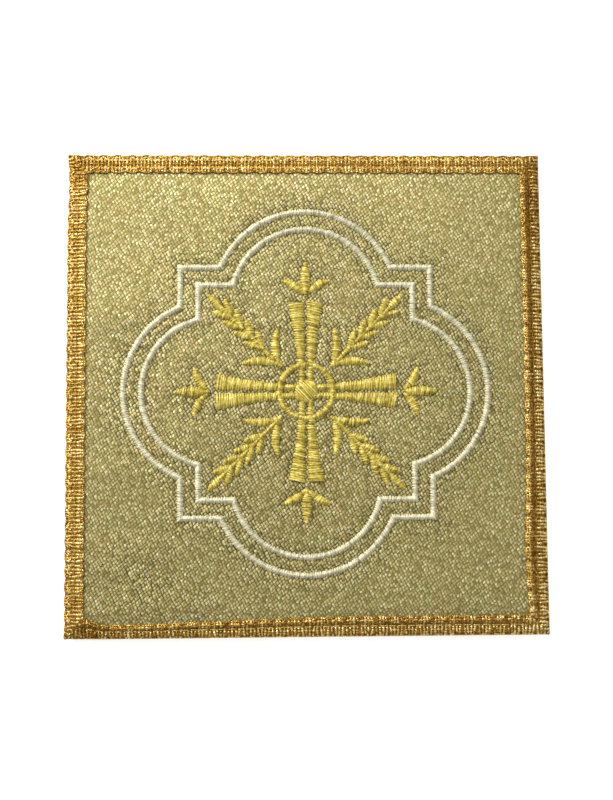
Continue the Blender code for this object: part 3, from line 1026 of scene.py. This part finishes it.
def add_ribs(bodies, random):
    """The ribs across the braid, four to each scallop. Near a corner they end in the mitred fold."""
    share = np.linspace(0, 1, RIB_STATIONS)[None]
    start, end = RIB_SPAN
    count = SCALLOPS * RIBS_PER_SCALLOP
    spots = (count, RIB_STATIONS)
    stray, slant, wander = RIB_STRAYS
    for side in range(4):
        place = ((np.arange(count) + 0.5) / count)[:, None]
        phase = scallop_phase(place)
        run = side_run(side)
        room = run / 2 - np.abs(place - 0.5) * run
        flat_inset = start + (np.minimum(end, room) - start) * share
        inset = scalloped(side, flat_inset, phase)
        bend = RIB_BEND * (2 * flat_inset / BRAID_WIDTH - 1) ** 2 * (phase - 0.5) * run / SCALLOPS
        along = (place - 0.5) * run - bend + random.normal(0, stray, (count, 1))
        along = along + random.normal(0, slant, (count, 1)) * (share - 0.5)
        along = along + random.normal(0, wander, spots)
        dip = groove_dip(side, flat_inset, phase)
        height = rib_height(flat_inset) - dip + random.normal(0, RIB_LIFTS[0], (count, 1))
        height = height + random.normal(0, RIB_LIFTS[1], spots)
        lines = braid_points(side, along, inset, height)
        # Painted shade: in the groove, between the scallops and along shaded stretches
        tones = np.interp(flat_inset / MM, *np.transpose(RIB_TONES)) + painted_shade_and_fold_tone(side, along)
        tones = tones - GROOVE_PAINTED_SHADE * dip / MM - notch_painted_shade(side, place, flat_inset)
        # The tone added to each side's ribs is painted light and shade
        bead, speckle, lift = RIB_LOOKS[side]
        tones = tones + lift + random.normal(0, RIB_TONE_SPREAD, (count, 1))
        tones = tones + random.normal(0, speckle, spots)
        bodies.add_tubes(lines, RIB_RADII, np.clip(tones, 0.05, 1), sides=6, taper=0.8, bead=bead)


def add_arcs(bodies, random):
    """The arched cords that fill each scallop of the outer edge, where it has scallops."""
    turn = np.linspace(0, math.pi, ARC_STATIONS)[None]
    middle = ((np.arange(SCALLOPS) + 0.5) / SCALLOPS - 0.5)[1:-1, None]
    count = len(middle)
    stray_along, stray_inwards = ARC_STRAYS
    for side in [side for side in range(4) if OUTER_SCALLOPS[side]]:
        scallop = side_run(side) / SCALLOPS
        for crest, ends, share, height, tone in ARCS:
            along = middle * side_run(side) - np.cos(turn) * share * scallop / 2
            inset = (ends - (ends - crest) * np.sin(turn)) * MM
            along = along + random.normal(0, stray_along, (count, 1))
            inset = inset + np.abs(random.normal(0, stray_inwards, (count, 1)))
            lines = braid_points(side, along, inset, height * MM + 0 * along)
            tones = np.clip(tone + random.normal(0, ARC_TONE_SPREAD, (count, ARC_STATIONS)), 0.1, 1)
            bodies.add_tubes(lines, ARC_RADII, tones, sides=6, taper=0.8, bead=ARC_BEAD)


def add_band_cords(bodies, random):
    """The yarns that run along a band of the braid and wave over and under its ribs."""
    stray_across, stray_up = BAND_CORD_STRAYS
    for side, inset, height, tone in BAND_CORDS:
        count = SCALLOPS * RIBS_PER_SCALLOP * 2
        place = (np.arange(count) + 0.5) / count
        room = side_run(side) / 2 - np.abs(place - 0.5) * side_run(side)
        place = place[room > (inset + 1) * MM]
        line_inset = scalloped(side, inset * MM, scallop_phase(place))
        line_inset = line_inset + random.normal(0, stray_across, len(place))
        heights = height * MM + random.normal(0, stray_up, len(place))
        along = (place - 0.5) * side_run(side)
        line = braid_points(side, along, line_inset, heights)[None]
        # Painted shade along shaded stretches and between the scallops
        tones = tone + painted_shade_and_fold_tone(side, along) - notch_painted_shade(side, place, inset * MM)
        tones = tones + random.normal(0, BAND_CORD_TONE_SPREAD, len(place))
        tones = np.clip(tones, 0.05, 1)[None]
        bodies.add_tubes(line, BAND_CORD_RADII, tones, sides=6, taper=0.8, bead=BAND_CORD_BEAD)


def add_edge_cords(bodies, random):
    """The cords along the braid's two edges."""
    for inset, height, radius, side_tones in EDGE_CORDS:
        line = around_braid(8, inset * MM, height * MM)
        place = (np.arange(len(line) // 4) + 0.5) / (len(line) // 4)
        # Each side's tone is painted light and shade; the notches get painted shade
        tones = np.concatenate(
            [tone - notch_painted_shade(side, place, inset * MM) for side, tone in enumerate(side_tones)]
        )
        tones = np.clip(tones + random.normal(0, EDGE_CORD_TONE_SPREAD, len(line)), 0.05, 1)
        bodies.add_tubes(line[None], (radius * MM, radius * MM), tones[None], sides=6, closed=True)


def add_braid_base(bodies, random):
    """The ground that the ribs are woven on."""
    rings = np.stack([around_braid(4, inset * MM, height * MM) for inset, height in BRAID_BASE], axis=1)
    # Painted shade by side on the ground
    tones = np.repeat(BASE_TONES, len(rings) // 4)
    tones = np.clip(tones + random.normal(0, BASE_TONE_SPREAD, len(rings)), 0, 1)
    bodies.add(rings[None], tones[None], closed=True)


def add_seam(bodies, random):
    """The running stitches in the groove, which hold the braid down."""
    share = np.linspace(0, 1, SEAM_STATIONS)[None]
    for side in range(4):
        count = int((side_run(side) - 2 * BRAID_WIDTH) / SEAM_PITCH)
        middle = (np.arange(count) - (count - 1) / 2)[:, None] * SEAM_PITCH
        along = middle + (share - 0.5) * SEAM_STITCH
        height = SEAM_LOW + SEAM_RISE * np.sin(math.pi * share) ** 0.4
        inset = SEAM_INSET + random.normal(0, SEAM_STRAY, (count, 1)) + 0 * share
        lines = braid_points(side, along, inset, height + 0 * along)
        bodies.add_tubes(lines, SEAM_RADII, np.full(count, SEAM_TONES[side]), taper=0.8)


def make_braid(material):
    """The whole braid as one piece."""
    random = np.random.default_rng(11)
    bodies = Bodies()
    add_braid_base(bodies, random)
    add_ribs(bodies, random)
    add_arcs(bodies, random)
    add_band_cords(bodies, random)
    add_edge_cords(bodies, random)
    add_seam(bodies, random)
    braid = bodies.make("scalloped_braid", material)
    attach(braid, "root")
    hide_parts("edge_braid")
    return braid


def stitch_distance(x, y, stitched):
    """How far each place is from the nearest thread."""
    tree = kdtree.KDTree(len(stitched))
    for index, (stitch_x, stitch_y) in enumerate(stitched):
        tree.insert((stitch_x, stitch_y, 0), index)
    tree.balance()
    return np.array([tree.find((place_x, place_y, 0))[2] for place_x, place_y in zip(x, y)])


def past_braid(x, y):
    """How far each place is from the braid's inner edge."""
    half_width, half_length = cloth_half_size()
    inset = np.minimum(half_width - np.abs(x), half_length - np.abs(y)) + BRAID_OVERHANG
    return inset - BRAID_WIDTH


def drawn_in(x, y, distance):
    """How the stitching and the braid's seam move the face up or down."""
    dips = -STITCH_DIP * np.exp(-((distance / STITCH_DIP_REACH) ** 2))
    waves = np.array([noise.noise((a / PUCKER_SIZE, b / PUCKER_SIZE, 0.5)) for a, b in zip(x, y)])
    puckers = PUCKER_HEIGHT * waves * np.exp(-distance / PUCKER_REACH)
    hem = -HEM_DIP * np.exp(-((past_braid(x, y) / HEM_DIP_REACH) ** 2))
    return dips + puckers + hem


def pulled(x, y, distance):
    """How much the stitching and the braid's seam pull the weave about, from 0 to 1, which leans the
    floats and paints shade into the ground.
    """
    total = np.exp(-distance / PULL_REACH)
    total = total + HEM_PULL * np.exp(-np.abs(past_braid(x, y)) / HEM_PULL_REACH)
    for middle_x, middle_y, reach, amount in PULLED_PATCHES:
        squares = ((x - middle_x * MM) ** 2 + (y - middle_y * MM) ** 2) / (reach * MM) ** 2
        total = total + amount * np.exp(-squares)
    return np.minimum(1.0, total)


def make_cloth(material, stitched):
    """The stiffened cloth: its face, turned edge and flat back, as one closed shell."""
    half_width, half_length = cloth_half_size()
    steps_x = round(2 * half_width / FACE_STEP)
    steps_y = round(2 * half_length / FACE_STEP)
    shape = bmesh.new()
    bmesh.ops.create_grid(shape, x_segments=steps_x, y_segments=steps_y, size=1)
    flat = np.array([vert.co for vert in shape.verts])
    x = flat[:, 0] * (half_width - FACE_INSET)
    y = flat[:, 1] * (half_length - FACE_INSET)
    distance = stitch_distance(x, y, stitched)
    z = cloth_top(x, y) + drawn_in(x, y, distance)
    pull = shape.verts.layers.float.new("pull")
    places = np.column_stack([x + dent(x, y), y, z])
    for vert, place, amount in zip(shape.verts, places, pulled(x, y, distance)):
        vert.co = place
        vert[pull] = amount
    edges = [edge for edge in shape.edges if edge.is_boundary]
    last_inset = FACE_INSET
    for inset_mm, height_mm in CLOTH_EDGE_TURNS:
        inset = inset_mm * MM
        made = bmesh.ops.extrude_edge_only(shape, edges=edges)["geom"]
        for vert in [item for item in made if isinstance(item, bmesh.types.BMVert)]:
            vert.co.x *= (half_width - inset) / (half_width - last_inset)
            vert.co.y *= (half_length - inset) / (half_length - last_inset)
            vert.co.z = height_mm * MM
        edges = [item for item in made if isinstance(item, bmesh.types.BMEdge)]
        last_inset = inset
    close_back(shape, edges, half_width - 2 * last_inset, half_length - 2 * last_inset)
    bmesh.ops.recalc_face_normals(shape, faces=shape.faces)
    mesh = bpy.data.meshes.new("lame_cloth")
    shape.to_mesh(mesh)
    shape.free()
    mesh.materials.append(material)
    mesh.shade_smooth()
    cloth = new_object("lame_cloth", mesh)
    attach(cloth, "root")
    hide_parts("pall_cloth")
    return cloth


def close_back(shape, edges, half_width, half_length):
    """Close the back with a coarse grid, joined to the turned edge by a band of triangles."""
    size = Matrix.Diagonal((half_width, half_length, 1, 1))
    grid = bmesh.ops.create_grid(shape, x_segments=BACK_STEPS, y_segments=BACK_STEPS, size=1, matrix=size)
    rim = {edge for vert in grid["verts"] for edge in vert.link_edges if edge.is_boundary}
    bmesh.ops.triangle_fill(shape, use_beauty=True, edges=[*edges, *rim])


def make_floor():
    """A plain pale floor, lit from below too, as on a light table."""
    material, _, shader = start_material("pale_floor", 0.9, 0.0)
    shader.inputs["Base Color"].default_value = FLOOR_COLOUR
    shader.inputs["Emission Color"].default_value = WHITE
    shader.inputs["Emission Strength"].default_value = FLOOR_GLOW
    mesh = bpy.data.meshes.new("floor")
    shape = bmesh.new()
    bmesh.ops.create_grid(shape, x_segments=1, y_segments=1, size=FLOOR_REACH)
    shape.to_mesh(mesh)
    shape.free()
    mesh.materials.append(material)
    floor = new_object("floor", mesh)
    floor.location.z = -FLOOR_GAP


def add_area_light(name, place, power):
    """A soft square light that faces the middle of the pall."""
    data = bpy.data.lights.new(name, "AREA")
    data.shape = "SQUARE"
    data.size = LIGHT_SIZE
    data.energy = power
    light = new_object(name, data)
    light.location = place
    light.rotation_euler = Vector(place).to_track_quat("Z", "Y").to_euler()


def make_light():
    """Soft light all round, a low light from the upper left and a gentle one above the top."""
    world = bpy.data.worlds.new("studio")
    world.use_nodes = True
    background = world.node_tree.nodes["Background"].inputs
    background["Color"].default_value = WHITE
    background["Strength"].default_value = WORLD_STRENGTH
    bpy.context.scene.world = world
    for name, place, power in LIGHTS:
        add_area_light(name, place, power)


def make_camera():
    """The camera at the photograph's viewing angle."""
    data = bpy.data.cameras.new("camera")
    data.sensor_width = SENSOR
    data.lens = LENS
    data.clip_start = 0.01
    camera = new_object("camera", data)
    back = -Vector(CAMERA_AHEAD).normalized()
    right = Vector(CAMERA_UP).cross(back).normalized()
    up = back.cross(right)
    turn = Matrix((right, up, back)).transposed().to_4x4()
    camera.matrix_world = Matrix.Translation(CAMERA_PLACE) @ turn
    bpy.context.scene.camera = camera


bpy.context.scene.view_settings.view_transform = "Standard"
make_camera()
make_light()
make_floor()
white_thread = thread_material("white_satin", WHITE_STOPS, WHITE_ROUGHNESS)
gold_thread = thread_material("gold_satin", GOLD_STOPS, GOLD_ROUGHNESS)
stitched_pieces, stitched_places = make_stitching(white_thread, gold_thread)
braid_piece = make_braid(braid_material())
make_cloth(cloth_material(), stitched_places)
